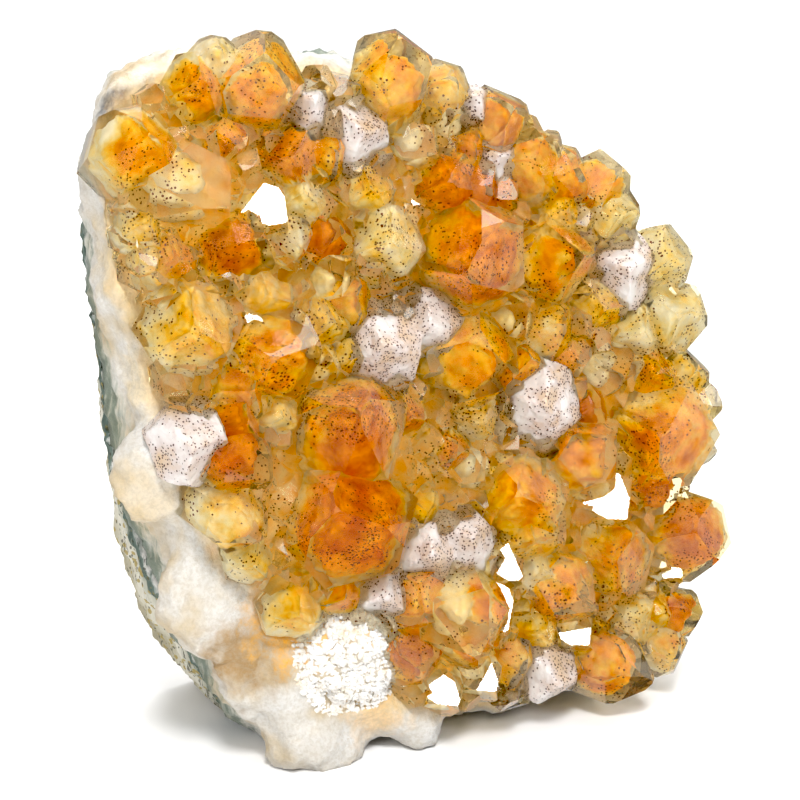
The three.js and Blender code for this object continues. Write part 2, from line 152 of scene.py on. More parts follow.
# Points of middle size that fill the spaces between them.
MIDDLE_POINTS = [
    (-28.5, 109.5, 3.6, 2, -0.2, 0.6, "pale"),
    (-42, 87.5, 3.2, 1.5, -0.1, 0.1, "honey"),
    (-19.5, 82, 3.4, 2, 0.2, -0.3, "pale", 90),
    (-28, 98, 3.2, 3, 0, -0.35, "amber"),
    (-14.5, 101.5, 3.6, 1.5, -0.1, 0.3, "frosted"),
    (-17.3, 88.5, 3.8, 1.5, -0.3, 0.2, "pale"),
    (-13.5, 76.5, 3.8, 2.5, 0.1, 0.4, "clear"),
    (8.5, 97, 3.4, 2, -0.2, 0.2, "clear"),
    (11.3, 92.5, 3.2, 2, -0.1, 0.1, "amber"),
    (16.8, 84.2, 3.4, 1.5, 0.1, -0.2, "amber"),
    (15.5, 90, 3.8, 1, -0.2, 0.2, "frosted"),
    (3, 93, 3.8, 2.5, 0.1, -0.2, "clear"),
    (17.5, 58.5, 4, 1, -0.1, 0.3, "amber"),
    (25.8, 57.5, 3.6, 2, 0, -0.2, "amber"),
    (49, 46.5, 3.8, 1.5, 0.5, 0, "honey"),
    (3.8, 47, 3.6, 1.5, 0.1, 0.1, "amber"),
    (7, 43, 3.4, 2.5, -0.1, -0.2, "clear"),
    (-3.5, 53.5, 4, 1.2, -0.2, 0, "amber"),
    (-2.5, 39, 3.6, 1.2, -0.2, 0, "honey"),
    (-16.5, 63.5, 3.6, 2, 0, 0.2, "clear"),
    (-12, 64, 3.2, 2, 0.1, 0.1, "honey"),
    (-24.5, 57, 4, 1.2, -0.2, 0, "pale"),
    (-17.5, 28.5, 4, 1, -0.2, 0, "amber"),
    (11, 27, 3.4, 2.5, 0.05, -0.3, "clear", 122),
    (37.5, 15, 3.6, 1.2, 0, 0.1, "honey"),
    (42.5, 13.5, 4, 1.5, 0.2, 0, "deep"),
    (22, 14.5, 3.6, 2.5, 0, -0.3, "clear", 122),
    (4.8, 11, 4, 2.5, 0, -0.3, "clear", 118),
    (-1.5, 9.5, 3.6, 2, 0, -0.3, "clear", 116),
    (-38.5, 82, 4.2, 1.5, -0.1, 0, "amber"),
    (-23.5, 87, 4.2, 2.5, 0.3, -0.3, "clear", 130),
    (-12.3, 94, 4.2, 1.5, 0, 0.1, "amber"),
    (8, 101.5, 4.2, 2, -0.1, 0.45, "honey"),
    (26.3, 80.5, 4.2, 1, -0.2, 0.1, "honey"),
    (16, 66, 4.2, 2.5, 0.1, 0.35, "clear"),
    (13, 99, 3.2, 1, 0, 0.4, "frosted"),
    (48, 40, 3.8, 1, 0.3, 0.1, "pale"),
]
MIDDLE_SEED = 4271

# The block of fine white grains low on the left: its middle, radius and lowest level on the face, and its
# grains: their smallest size and spread in size, how far they tip, their length for their size, and how
# blunt they are. Lengths are in millimetres.
SUGAR_SEED = 3301
SUGAR_COUNT = 2600
SUGAR_BLOCK = (-15.0, 18.5)
SUGAR_REACH = 10.0
SUGAR_FLOOR = -5
SUGAR_LOWEST = 1.5
SUGAR_SIZE = (0.35, 0.6)
SUGAR_TIP = 1.4
SUGAR_LENGTH = 1.4
SUGAR_BLUNT = 0.3

# Small points that cover what is left of the crust.
SMALL_SEED = 1207
SMALL_TRIES = 9000
SMALL_MOST = 600
SMALL_LARGEST = 2.6
SMALL_SMALLEST = 0.9
SMALL_ACROSS = (-46, 96)
SMALL_UP = (5, 104)
SMALL_LEAN = (-0.15, 0.05)
SMALL_LEAN_SPREAD = 0.7
SMALL_RISE = (0.8, 2.4)
SMALL_SPACING = 0.55
SMALL_ROOT_DEPTH = 3.0
SMALL_SHADES = ((0.35, "honey"), (0.55, "amber"), (1.0, "pale"))

# Size of the faces of the milky roots and of the frosted points, which have grain modelled into them.
ROOT_CELL = 0.6 * MM
FROST_CELL = 0.45 * MM

# Lumps of the milky roots: size and height, how deep a dent may be, and the share of the room to the shell
# that a lump may take, all but the last in millimetres.
ROOT_LUMPS = ((2.6, 0.9), (1.1, 0.5), (0.5, 0.3))
ROOT_DENT = 0.8
ROOT_LUMP_SHARE = 0.6

# Grain of the surfaces in waves: size and height in millimetres, and whether the grain is sharp.
FROST_WAVES = ((2.2, 0.26, True), (0.9, 0.16, True))
WALL_WAVES = ((9, 1.6, False), (3.8, 0.9, False), (1.9, 0.9, True), (1.0, 0.35, True))
RIND_WAVES = ((7, 1.0, False), (2.4, 0.6, False), (1.3, 0.7, True))
SHARP_MIDDLE = 0.45

# Under the crust the wall's grain fades over this distance and its skin sinks by this depth, in millimetres.
CRUST_FADE = 3.0
CALM_SINK = 1.4

# Outline of the crust of points on the face: across, up.
CRUST_EDGE = [
    (-8, 11),
    (0, 7),
    (14, 6),
    (27, 6.5),
    (36, 8),
    (41, 15),
    (44, 25),
    (45, 37),
    (46, 49),
    (46, 60),
    (44, 71),
    (37, 79),
    (31, 86),
    (21, 95),
    (8, 101),
    (-6, 103),
    (-19, 106),
    (-31, 108),
    (-40, 104),
    (-44, 96),
    (-44, 85),
    (-40.5, 72),
    (-39, 58),
    (-36, 46),
    (-33, 36),
    (-26, 30),
    (-18, 27),
    (-9, 18),
]

# How deep the colour of each finish is, from pale to dark.
TONE = {"deep": 1.0, "amber": 0.75, "honey": 0.5, "pale": 0.25, "clear": 0.1, "frosted": 0.0}

# How cloudy each finish is right at its surface.
HAZE = {"deep": 0.0, "amber": 0.0, "honey": 0.04, "pale": 0.35, "clear": 0.35}
SMALL_HAZE = 1.0
# The faces of one crystal don't show the same depth: some are a little cloudier than others.
GLEAM = 0.12
GLEAM_STEPS = 3.7

# How streaks on the wall are drawn out: across it, through it and along it.
STREAK_STRETCH = (1.0, 1.2, 0.16)

# Share of each crystal that is milky root, under its clear tip.
ROOT_SHARE = {"deep": 0.64, "amber": 0.66, "honey": 0.7, "pale": 0.78, "clear": 0.42}


def stream(seed):
    """A repeatable stream of numbers from 0 to 1, the same one that the solids use."""
    factor, modulus = 16807, 2147483647
    state = seed
    while True:
        state = (state * factor) % modulus
        yield state / modulus


def from_face(across, up, out):
    """A place in the face frame, in millimetres, as a place in the part's frame, in metres."""
    sin, cos = math.sin(FACE_LEAN), math.cos(FACE_LEAN)
    place = Vector((across - ORIGIN_ACROSS, up * sin - out * cos - ORIGIN_OUT, up * cos + out * sin))
    return place * MM


def to_face(place):
    """A place in the part's frame, in metres, as across, up and out, in millimetres."""
    spot = place / MM
    sin, cos = math.sin(FACE_LEAN), math.cos(FACE_LEAN)
    depth = spot.y + ORIGIN_OUT
    return spot.x + ORIGIN_ACROSS, depth * sin + spot.z * cos, spot.z * sin - depth * cos


def on_crust(across, up):
    """True if a place lies inside the crust's outline."""
    inside = False
    for (x, y), (px, py) in zip(CRUST_EDGE, CRUST_EDGE[-1:] + CRUST_EDGE[:-1]):
        if (y > up) != (py > up) and across < (px - x) * (up - y) / (py - y) + x:
            inside = not inside
    return inside


def grow_point(row, draw, root_depth=ROOT_DEPTH):
    """One crystal in the part's frame: a hexagonal prism cut by six faces of the tip, three grown back."""
    across, up, radius, rise, lean_right, lean_up = row[:6]
    tip_out = rise + radius / math.tan(TIP_SLOPE)
    axis = Vector((lean_right, lean_up, 1)).normalized()
    side = (Vector((1, 0, 0)) - axis * axis.x).normalized()
    any_way = next(draw) * 180
    facing = row[7] if len(row) > 7 else any_way
    side = Matrix.Rotation(math.radians(facing), 3, axis) @ side
    other = axis.cross(side)
    reach = tip_out - READ_LEVEL
    tip = Vector((across + lean_right * reach, up + lean_up * reach, tip_out))
    length = (tip_out + root_depth) / axis.z
    crystal = bmesh.new()
    bmesh.ops.create_cube(crystal, size=1)
    bmesh.ops.scale(crystal, vec=(4 * radius, 4 * radius, length), verts=crystal.verts)
    bmesh.ops.translate(crystal, vec=(0, 0, -length / 2), verts=crystal.verts)
    planes = []
    for i in range(6):
        angle = i * math.pi / 3
        normal = Vector((math.cos(angle), math.sin(angle), 0))
        planes.append((normal, radius * (1 + PRISM_SPREAD * (2 * next(draw) - 1))))
    for i in range(6):
        angle = i * math.pi / 3
        share = MINOR_SET_BACK + MINOR_SPREAD * next(draw) if i % 2 else MAJOR_SPREAD * next(draw)
        flat = math.cos(TIP_SLOPE)
        normal = Vector((math.cos(angle) * flat, math.sin(angle) * flat, math.sin(TIP_SLOPE)))
        planes.append((normal, radius * share))
    for normal, distance in planes:
        everything = crystal.verts[:] + crystal.edges[:] + crystal.faces[:]
        cut = bmesh.ops.bisect_plane(
            crystal, geom=everything, plane_co=normal * distance, plane_no=normal, clear_outer=True
        )
        rim = [e for e in cut["geom_cut"] if isinstance(e, bmesh.types.BMEdge)]
        if rim:
            bmesh.ops.holes_fill(crystal, edges=rim, sides=0)
    turn = Matrix((side, other, axis)).transposed()
    for vertex in crystal.verts:
        vertex.co = from_face(*(tip + turn @ vertex.co))
    bmesh.ops.recalc_face_normals(crystal, faces=crystal.faces)
    if crystal.calc_volume(signed=True) < 0:
        bmesh.ops.reverse_faces(crystal, faces=crystal.faces)
    return crystal


def milky_root(row, shell):
    """The cloudy lower part of a crystal, inside its clear shell."""
    root = shell.copy()
    across, up, lean_right, lean_up, finish = row[0], row[1], row[4], row[5], row[6]
    base = from_face(across - READ_LEVEL * lean_right, up - READ_LEVEL * lean_up, 0)
    share = ROOT_SHARE[finish]
    bmesh.ops.translate(root, vec=-base, verts=root.verts)
    bmesh.ops.scale(root, vec=(share, share, share), verts=root.verts)
    bmesh.ops.translate(root, vec=base, verts=root.verts)
    return root


class Crystal:
    """What a finished point is remembered by when the faces get their tone."""

    def __init__(self, row):
        radius, rise, finish = row[2], row[3], row[6]
        self.tone = TONE[finish]
        self.haze = HAZE.get(finish, 0.0) if radius > SMALL_LARGEST else SMALL_HAZE
        self.height = rise + radius / math.tan(TIP_SLOPE)
        self.root_share = ROOT_SHARE.get(finish, 1.0)


def as_object(name, mesh):
    piece = bpy.data.objects.new(name, mesh)
    bpy.context.scene.collection.objects.link(piece)
    return piece


def union_of(name, shells):
    """Joins overlapping closed crystals into one solid."""
    helpers = bpy.data.collections.new(name + "_shells")
    bpy.context.scene.collection.children.link(helpers)
    objects = []
    for number, shell in enumerate(shells):
        mesh = bpy.data.meshes.new(f"{name}_{number}")
        shell.to_mesh(mesh)
        shell.free()
        helper = bpy.data.objects.new(f"{name}_shell_{number}", mesh)
        objects.append(helper)
    piece = objects.pop(0)
    bpy.context.scene.collection.objects.link(piece)
    piece.name = name
    for helper in objects:
        helpers.objects.link(helper)
    joiner = piece.modifiers.new("join", "BOOLEAN")
    joiner.operation = "UNION"
    joiner.solver = "MANIFOLD"
    joiner.operand_type = "COLLECTION"
    joiner.collection = helpers
    bpy.context.view_layer.update()
    depsgraph = bpy.context.evaluated_depsgraph_get()
    joined = bpy.data.meshes.new_from_object(piece.evaluated_get(depsgraph))
    piece.modifiers.clear()
    piece.data = joined
    for helper in objects:
        bpy.data.objects.remove(helper)
    bpy.data.collections.remove(helpers)
    return piece


def grown_points():
    """All rows with their crystals, largest first."""
    made = []
    draw = stream(SHAPE_SEED)
    for row in LARGE_POINTS:
        made.append((row, grow_point(row, draw)))
    draw = stream(MIDDLE_SEED)
    for row in MIDDLE_POINTS:
        made.append((row, grow_point(row, draw)))
    rows = small_rows()
    draw = stream(SMALL_SEED)
    for row in rows:
        made.append((row, grow_point(row, draw, root_depth=SMALL_ROOT_DEPTH)))
    return made


def small_rows():
    """Small points wherever the larger ones leave room."""
    draw = stream(SMALL_SEED)
    placed = [(row[0], row[1], row[2]) for row in LARGE_POINTS + MIDDLE_POINTS]
    rows = []
    for attempt in range(SMALL_TRIES):
        across = SMALL_ACROSS[0] + SMALL_ACROSS[1] * next(draw)
        up = SMALL_UP[0] + SMALL_UP[1] * next(draw)
        radius = SMALL_LARGEST - (SMALL_LARGEST - SMALL_SMALLEST) * attempt / SMALL_TRIES
        lean_right = SMALL_LEAN[0] + SMALL_LEAN_SPREAD * (next(draw) - 0.5)
        lean_up = SMALL_LEAN[1] + SMALL_LEAN_SPREAD * (next(draw) - 0.5)
        rise = SMALL_RISE[0] + SMALL_RISE[1] * next(draw)
        shade = next(draw)
        if len(rows) >= SMALL_MOST:
            break
        if not on_crust(across, up):
            continue
        if any(math.hypot(across - x, up - y) < SMALL_SPACING * (r + radius) for x, y, r in placed):
            continue
        placed.append((across, up, radius))
        finish = next(name for most, name in SMALL_SHADES if shade < most)
        rows.append((across, up, radius, rise, lean_right, lean_up, finish))
    return rows


def tree_of(mesh):
    body = bmesh.new()
    body.from_mesh(mesh)
    tree = BVHTree.FromBMesh(body)
    body.free()
    return tree


def cloud_roots(piece, shell, crystals):
    """Breaks the flat faces of the milky roots into cloudy lumps that stay inside the clear shell."""
    seats = [entry.value for entry in piece.data.attributes["seat"].data]
    near_root, near_shell = tree_of(piece.data), tree_of(shell.data)
    remeshed(piece, ROOT_CELL)
    body = bmesh.new()
    body.from_mesh(piece.data)
    body.normal_update()
    tone = body.verts.layers.float.new("tone")
    rise = body.verts.layers.float.new("rise")
    for vertex in body.verts:
        found = near_root.find_nearest(vertex.co)
        crystal = crystals[seats[found[2]]]
        vertex[tone] = crystal.tone
        vertex[rise] = max(0.0, to_face(vertex.co)[2] / (crystal.height * crystal.root_share))
        room = near_shell.find_nearest(vertex.co)[3] / MM
        spot = vertex.co / MM
        swell = sum(height * noise.noise(spot / size) for size, height in ROOT_LUMPS)
        swell = max(-ROOT_DENT, min(swell, ROOT_LUMP_SHARE * room))
        vertex.co += vertex.normal * swell * min(1.0, room) * MM
    body.to_mesh(piece.data)
    body.free()
    piece.data.shade_smooth()
    return piece


def label_points(piece, crystals):
    """Gives every face the tone of its crystal, and every corner how far up the crystal it stands."""
    mesh = piece.data
    seat_of = mesh.attributes["seat"].data
    tone = mesh.attributes.new("tone", "FLOAT", "FACE")
    haze = mesh.attributes.new("haze", "FLOAT", "FACE")
    rise = mesh.attributes.new("rise", "FLOAT", "CORNER")
    for face in mesh.polygons:
        crystal = crystals[seat_of[face.index].value]
        tone.data[face.index].value = crystal.tone
        gleam = noise.cell(face.normal * GLEAM_STEPS + Vector((seat_of[face.index].value, 0, 0)))
        haze.data[face.index].value = crystal.haze + GLEAM * gleam ** 2
        for corner in face.loop_indices:
            out = to_face(mesh.vertices[mesh.loops[corner].vertex_index].co)[2]
            rise.data[corner].value = max(0.0, min(1.0, out / crystal.height))


def mark_seat(shell, number):
    layer = shell.faces.layers.int.new("seat")
    for face in shell.faces:
        face[layer] = number


def give_finish(piece, material):
    piece.data.materials.clear()
    piece.data.materials.append(material)
    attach(piece, BODY)


class Finish:
    """A material under construction: a Principled shader and the nodes that feed it."""

    def __init__(self, name):
        self.material = bpy.data.materials.new(name)
        self.material.use_nodes = True
        self.tree = self.material.node_tree
        self.shader = self.tree.nodes["Principled BSDF"]
        self.output = self.tree.nodes["Material Output"]
        coords = self.tree.nodes.new("ShaderNodeTexCoord")
        self.place = self.node("ShaderNodeMapping", {"Vector": coords.outputs["Object"], "Scale": (1 / MM,) * 3})

    def node(self, kind, sockets=None, **settings):
        """Adds a node, sets it up, feeds its sockets and returns its first output."""
        made = self.tree.nodes.new(kind)
        for name, value in settings.items():
            setattr(made, name, value)
        for key, value in (sockets or {}).items():
            self.feed(made.inputs[key], value)
        return made.outputs[0]

    def feed(self, socket, value):
        if isinstance(value, bpy.types.NodeSocket):
            self.tree.links.new(value, socket)
        else:
            socket.default_value = value

    def set(self, **values):
        """Feeds the shader's own sockets, named with underscores for spaces."""
        for name, value in values.items():
            self.feed(self.shader.inputs[name.replace("_", " ")], value)

    def math(self, operation, a, b=0.0, clamp=False):
        return self.node("ShaderNodeMath", {0: a, 1: b}, operation=operation, use_clamp=clamp)

    def noise(self, scale, detail=3.0, roughness=0.55, place=None):
        sockets = {"Scale": scale, "Detail": detail, "Roughness": roughness}
        sockets["Vector"] = place or self.place
        return self.node("ShaderNodeTexNoise", sockets)

    def span(self, value, low, high):
        """The value as a share of the way from low to high, kept between 0 and 1."""
        sockets = {"Value": value, "From Min": low, "From Max": high}
        return self.node("ShaderNodeMapRange", sockets, clamp=True)

    def mix(self, share, first, second):
        made = self.tree.nodes.new("ShaderNodeMix")
        made.data_type = "RGBA"
        self.feed(made.inputs["Factor"], share)
        self.feed(made.inputs["A"], first)
        self.feed(made.inputs["B"], second)
        return made.outputs["Result"]

    def ramp(self, value, stops):
        made = self.tree.nodes.new("ShaderNodeValToRGB")
        self.feed(made.inputs["Fac"], value)
        elements = made.color_ramp.elements
        while len(elements) < len(stops):
            elements.new(0.5)
        for element, (position, colour) in zip(elements, stops):
            element.position = position
            element.color = colour
        return made.outputs["Color"]

    def attribute(self, name):
        made = self.tree.nodes.new("ShaderNodeAttribute")
        made.attribute_name = name
        return made.outputs["Fac"]

    def specks(self, spacing, radius, spread):
        """Small round grains: 1 inside a grain and 0 outside, gathered where spread is high."""
        cells = self.tree.nodes.new("ShaderNodeTexVoronoi")
        self.feed(cells.inputs["Vector"], self.place)
        cells.inputs["Scale"].default_value = 1 / spacing
        grain = self.math("LESS_THAN", cells.outputs["Distance"], radius / spacing)
        pick = self.node("ShaderNodeSeparateColor", {"Color": cells.outputs["Color"]})
        return self.math("MULTIPLY", grain, self.math("LESS_THAN", pick, spread))

    def spot(self, centre, radius, wander):
        """A stain with a ragged edge: 1 in its middle, given in millimetres, and 0 past its radius."""
        ragged = self.tree.nodes.new("ShaderNodeVectorMath")
        ragged.operation = "DISTANCE"
        self.feed(ragged.inputs[0], self.place)
        self.feed(ragged.inputs[1], centre)
        edge = self.math("ADD", ragged.outputs["Value"], self.math("MULTIPLY", wander, 1.6 * radius))
        return self.span(edge, radius, 0.35 * radius)

    def down_the_wall(self):
        """The place drawn out along the leaning face, for streaks that run up and down the wall."""
        sockets = {"Vector": self.place, "Rotation": (FACE_LEAN, 0, 0), "Scale": STREAK_STRETCH}
        return self.node("ShaderNodeMapping", sockets)

    def bump(self, height, strength, distance):
        sockets = {"Height": height, "Strength": strength, "Distance": distance * MM}
        return self.node("ShaderNodeBump", sockets)


def colour(red, green, blue):
    """An sRGB colour from 0 to 255 as linear values with alpha."""
    def linear(level):
        share = level / 255
        return share / 12.92 if share <= 0.04045 else ((share + 0.055) / 1.055) ** 2.4
    return (linear(red), linear(green), linear(blue), 1.0)


def citrine_finish(settings):
    made = Finish("citrine")
    tone = made.attribute("tone")
    rise = made.attribute("rise")
    depth = made.math("MULTIPLY", tone, made.math("ADD", made.math("MULTIPLY", rise, 0.7), 0.3))
    clear_body = made.ramp(
        depth,
        [
            (0.0, colour(255, 255, 250)),
            (0.3, colour(255, 252, 236)),
            (0.65, colour(255, 248, 222)),
            (1.0, colour(255, 240, 198)),
        ],
    )
    cloudy_body = made.ramp(
        tone,
        [
            (0.05, colour(248, 236, 226)),
            (0.25, colour(255, 234, 178)),
            (0.5, colour(255, 206, 96)),
            (0.8, colour(250, 168, 30)),
            (1.0, colour(222, 116, 8)),
        ],
    )
    cloudiness = made.span(made.noise(0.35, 1), 0.2, 0.5)
    haze = made.math("MULTIPLY", made.attribute("haze"), cloudiness, clamp=True)
    body = made.mix(haze, clear_body, cloudy_body)
    spread = made.span(made.noise(0.13, 1, 0.6), 0.5, 0.62)
    grains = made.specks(0.55, 0.15, made.math("MULTIPLY", spread, 0.8))
    base = made.mix(grains, body, colour(88, 44, 24))
    unhazed = made.math("MULTIPLY", made.math("SUBTRACT", 1.0, haze), settings.clarity)
    clear = made.math("MULTIPLY", made.math("SUBTRACT", 1.0, grains), unhazed)
    made.set(Base_Color=base, Roughness=0.0, Transmission_Weight=clear, IOR=1.54)
    absorb = made.tree.nodes.new("ShaderNodeVolumeAbsorption")
    absorb.inputs["Color"].default_value = settings.absorption_colour[:] + (1.0,)
    absorb.inputs["Density"].default_value = settings.absorption_density
    made.tree.links.new(absorb.outputs[0], made.output.inputs["Volume"])
    return made.material


def root_finish():
    made = Finish("milky_root")
    tone = made.attribute("tone")
    cloud = made.math("MULTIPLY", made.math("SUBTRACT", made.noise(0.22, 3, 0.65), 0.5), 1.3)
    gathered = made.math("MULTIPLY", tone, made.span(made.attribute("rise"), -0.15, 0.6))
    depth = made.math("ADD", made.math("MULTIPLY", gathered, 0.85), cloud, clamp=True)
    body = made.ramp(
        depth,
        [
            (0.0, colour(255, 250, 232)),
            (0.22, colour(255, 236, 176)),
            (0.45, colour(255, 208, 80)),
            (0.7, colour(248, 160, 12)),
            (1.0, colour(206, 104, 2)),
        ],
    )
    spread = made.span(made.noise(0.1, 1), 0.46, 0.66)
    flecks = made.specks(0.7, 0.2, made.math("MULTIPLY", spread, 0.7))
    off_middle = made.math("SUBTRACT", made.noise(0.2, 4, 0.75), 0.5)
    veins = made.math("LESS_THAN", made.math("ABSOLUTE", off_middle), 0.008)
    drawn = made.math("MULTIPLY", veins, made.span(tone, 0.6, 0.9))
    marks = made.math("MAXIMUM", flecks, made.math("MULTIPLY", drawn, spread))
    made.set(
        Base_Color=made.mix(marks, body, colour(110, 42, 10)),
        Roughness=0.5,
        Specular_IOR_Level=0.2,
        Normal=made.bump(made.noise(0.9, 1), 0.6, 0.5),
    )
    return made.material


def frosted_finish():
    made = Finish("frosted_quartz")
    cloud = made.noise(0.2, 4)
    body = made.ramp(
        cloud,
        [(0.3, colour(250, 247, 244)), (0.5, colour(242, 232, 226)), (0.68, colour(240, 212, 166))],
    )
    dusty = made.span(made.noise(0.2, 4, 0.6), 0.4, 0.56)
    grains = made.specks(0.45, 0.15, made.math("MULTIPLY", dusty, 0.95))
    dusted = made.mix(made.math("MULTIPLY", dusty, 0.4), body, colour(196, 172, 168))
    base = made.mix(grains, dusted, colour(84, 56, 48))
    made.set(
        Base_Color=base,
        Roughness=0.3,
        Transmission_Weight=made.math("MULTIPLY", made.math("SUBTRACT", 1.0, grains), 0.3),
        IOR=1.54,
        Normal=made.bump(made.noise(1.6, 3), 0.25, 0.4),
    )
    return made.material


# Stains of the quartz wall: middle in millimetres, radius, strength, colour.
WALL_STAINS = (
    ((-34.5, -12.4, 20.2), 8.5, 0.9, (158, 126, 80)),
    ((-26.5, -13.1, 25.3), 9.0, 0.9, (240, 176, 64)),
    ((-14.7, -16.4, 7.3), 6.0, 0.6, (226, 184, 116)),
    ((-47.3, 1.7, 79.8), 7.0, 0.6, (204, 180, 134)),
    ((-47.6, -5.4, 45.1), 8.0, 0.5, (212, 190, 150)),
    ((-46.0, -2.0, 62.0), 7.0, 0.4, (236, 206, 140)),
    ((-44.2, 5.3, 100.6), 4.6, 0.95, (82, 84, 90)),
)


def milky_finish():
    made = Finish("milky_quartz")
    stain = made.noise(0.07, 4)
    body = made.ramp(
        stain,
        [
            (0.36, colour(212, 211, 208)),
            (0.5, colour(204, 199, 190)),
            (0.6, colour(194, 178, 150)),
            (0.74, colour(180, 150, 104)),
        ],
    )
    wander = made.math("SUBTRACT", made.noise(0.35, 4, 0.6), 0.5)
    for centre, radius, strength, stain_colour in WALL_STAINS:
        share = made.math("MULTIPLY", made.spot(centre, radius, wander), strength)
        body = made.mix(share, body, colour(*stain_colour))
    grain = made.span(made.noise(1.7, 4, 0.7), 0.56, 0.4)
    body = made.mix(made.math("MULTIPLY", grain, 0.35), body, colour(172, 160, 140))
    to_rind = made.attribute("to_rind")
    streaks_place = made.down_the_wall()
    streaks = made.noise(0.7, 5, 0.6, streaks_place)
    reach = made.math("ADD", to_rind, made.math("MULTIPLY", made.math("SUBTRACT", streaks, 0.5), 14.0))
    green = made.ramp(
        made.span(reach, 0, 8),
        [(0.0, colour(86, 100, 90)), (0.45, colour(112, 126, 112)), (0.8, colour(186, 190, 176))],
    )
    body = made.mix(made.math("MULTIPLY", made.span(reach, 7, 2.5), 0.85), body, green)
    golden = made.ramp(made.noise(0.25, 3), [(0.35, colour(255, 230, 172)), (0.65, colour(255, 196, 96))])
    made.set(
        Base_Color=made.mix(made.attribute("crust"), body, golden),
        Roughness=0.42,
        Normal=made.bump(made.noise(1.8, 3, 0.65), 0.5, 0.5),
    )
    return made.material


def sugar_finish():
    made = Finish("sugar_quartz")
    body = made.ramp(
        made.noise(0.3, 3),
        [(0.35, colour(246, 245, 243)), (0.6, colour(242, 236, 226)), (0.8, colour(228, 208, 172))],
    )
    made.set(
        Base_Color=body,
        Roughness=0.2,
        Transmission_Weight=0.1,
        IOR=1.54,
        Normal=made.bump(made.noise(2.5, 2), 0.15, 0.3),
    )
    return made.material


def rind_finish():
    made = Finish("rind")
    inside = made.attribute("inside")
    streaks_place = made.down_the_wall()
    streaks = made.noise(0.8, 5, 0.6, streaks_place)
    level = made.math("ADD", inside, made.math("MULTIPLY", made.math("SUBTRACT", streaks, 0.5), 6.0))
    body = made.ramp(
        made.span(level, 0, 12),
        [
            (0.0, colour(226, 224, 218)),
            (0.08, colour(118, 132, 124)),
            (0.2, colour(92, 106, 98)),
            (0.3, colour(186, 186, 170)),
            (0.5, colour(222, 218, 204)),
            (0.75, colour(196, 190, 168)),
            (1.0, colour(176, 168, 144)),
        ],
    )
    ochre = made.math("MULTIPLY", made.specks(1.1, 0.5, 0.35), made.span(level, 1.0, 3.0))
    grained = made.mix(made.math("MULTIPLY", ochre, 0.8), body, colour(172, 150, 76))
    dark_lines = made.math("GREATER_THAN", made.noise(1.1, 5, 0.7, streaks_place), 0.6)
    dark_grains = made.math("MAXIMUM", made.specks(0.8, 0.28, 0.3), dark_lines)
    base = made.mix(made.math("MULTIPLY", dark_grains, 0.75), grained, colour(84, 84, 72))
    made.set(
        Base_Color=base,
        Roughness=0.85,
        Normal=made.bump(made.noise(2.2, 5, 0.7), 0.8, 0.6),
    )
    return made.material


def copy_of_node(node_name, piece_name):
    """A joined copy of a solid's mesh, for a finer piece to start from."""
    body = bmesh.new()
    body.from_mesh(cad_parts[node_name].data)
    bmesh.ops.remove_doubles(body, verts=body.verts, dist=0.01 * MM)
    mesh = bpy.data.meshes.new(piece_name)
    body.to_mesh(mesh)
    body.free()
    return as_object(piece_name, mesh)


def remeshed(piece, cell):
    """The piece as an even skin of small faces, so that grain can be modelled into it."""
    remesh = piece.modifiers.new("skin", "REMESH")
    remesh.mode = "VOXEL"
    remesh.voxel_size = cell
    bpy.context.view_layer.update()
    depsgraph = bpy.context.evaluated_depsgraph_get()
    skin = bpy.data.meshes.new_from_object(piece.evaluated_get(depsgraph))
    piece.modifiers.clear()
    piece.data = skin
    return piece


def crust_share(place):
    """How far a place on the front lies under the crust of points, from 0 outside it to 1 well inside."""
    across, up, out = to_face(place)
    if out < -5:
        return 0.0
    ring = [(0, 0)] + [(CRUST_FADE * math.cos(i), CRUST_FADE * math.sin(i)) for i in range(7)]
    return sum(on_crust(across + right, up + higher) for right, higher in ring) / len(ring)


def roughen(piece, waves, calm=None):
    """Moves the skin in and out by several sizes of grain. Each wave is (size, height, sharp) in millimetres.

    Where calm rises to 1, the grain fades away and the skin sinks, which leaves room for what grows on it.
    It also fades away over the lowest millimetre, so that the base stays flat.
    """
    body = bmesh.new()
    body.from_mesh(piece.data)
    body.normal_update()
    for vertex in body.verts:
        spot = vertex.co / MM
        shift = 0.0
        for size, height, sharp in waves:
            if sharp:
                near = noise.voronoi(spot / size)[0]
                shift += height * (SHARP_MIDDLE - near[0])
            else:
                shift += height * noise.noise(spot / size)
        if calm:
            shift = shift * (1 - calm[vertex.index]) - CALM_SINK * calm[vertex.index]
        ground = min(1.0, max(0.0, spot.z))
        vertex.co += vertex.normal * shift * MM * ground
    body.to_mesh(piece.data)
    body.free()


class CitrineSettings(bpy.types.PropertyGroup):
    """Sizes and colours that a user would change."""

    clarity: bpy.props.FloatProperty(
        name="Clarity",
        description="How much of the light that meets a point passes into it",
        default=1.0,
        min=0,
        max=1,
        subtype="FACTOR",
    )
    absorption_colour: bpy.props.FloatVectorProperty(
        name="Depth colour",
        description="Colour that thick crystal turns light to",
        default=(1.0, 0.76, 0.1),
        size=3,
        subtype="COLOR",
    )
    absorption_density: bpy.props.FloatProperty(
        name="Depth density",
        description="How fast light turns to the depth colour, per metre",
        default=38,
        min=0,
    )
    wall_cell: bpy.props.FloatProperty(
        name="Wall grain",
        description="Size of the faces of the quartz wall and the rind",
        default=0.8 * MM,
        unit="LENGTH",
        precision=4,
    )


